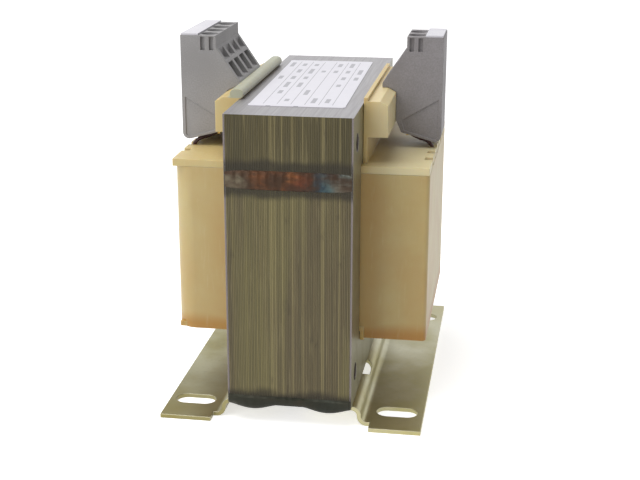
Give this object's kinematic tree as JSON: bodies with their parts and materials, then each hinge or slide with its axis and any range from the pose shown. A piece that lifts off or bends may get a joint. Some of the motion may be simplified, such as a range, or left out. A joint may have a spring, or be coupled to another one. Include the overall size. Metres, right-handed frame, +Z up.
{
  "type": "laminated chassis transformer",
  "caption": "Welded EI-core transformer on two slotted sheet feet, with a moulded coil former, a wrapped coil and a screw-clamp terminal block on each side.",
  "frame": {"origin": "on the floor, under the middle of the part", "axes": "+X through the stack of core sheets towards the two-pole block, +Y along the core, +Z up"},
  "size_m": [0.0798, 0.108, 0.1103],
  "materials": {
    "core_steel": "satin",
    "core_steel_dark": "satin",
    "weld_metal": "heat tinted",
    "zinc_sheet": "passivated",
    "former_plastic": "satin",
    "winding_wire": "enamelled",
    "wrap_sheet": "satin",
    "grey_plastic": "matte",
    "grey_plastic_dark": "matte",
    "clamp_metal": "plated",
    "screw_steel": "plated",
    "contact_brass": "tinned",
    "marker_plastic": "satin",
    "lead_sleeve": "matte",
    "label_film": "satin"
  },
  "bodies": {
    "root": {"e_laminations": "core_steel", "i_laminations": "core_steel_dark", "front_seam_weld": "weld_metal", "rear_seam_weld": "weld_metal", "front_foot_weld": "weld_metal", "rear_foot_weld": "weld_metal", "left_foot_bracket": "zinc_sheet", "right_foot_bracket": "zinc_sheet", "coil_former": "former_plastic", "primary_winding": "winding_wire", "winding_insulation": "wrap_sheet", "secondary_winding": "winding_wire", "outer_wrap": "wrap_sheet", "left_terminal_housing": "grey_plastic", "right_terminal_housing": "grey_plastic_dark", "left_clamp_bodies": "clamp_metal", "right_clamp_bodies": "clamp_metal", "left_clamp_screws": "screw_steel", "right_clamp_screws": "screw_steel", "left_contact_bars": "contact_brass", "right_contact_bars": "contact_brass", "left_marker_strip": "marker_plastic", "right_marker_strip": "marker_plastic", "left_winding_leads": "lead_sleeve", "right_winding_leads": "lead_sleeve", "blank_label": "label_film"}
  },
  "joints": []
}
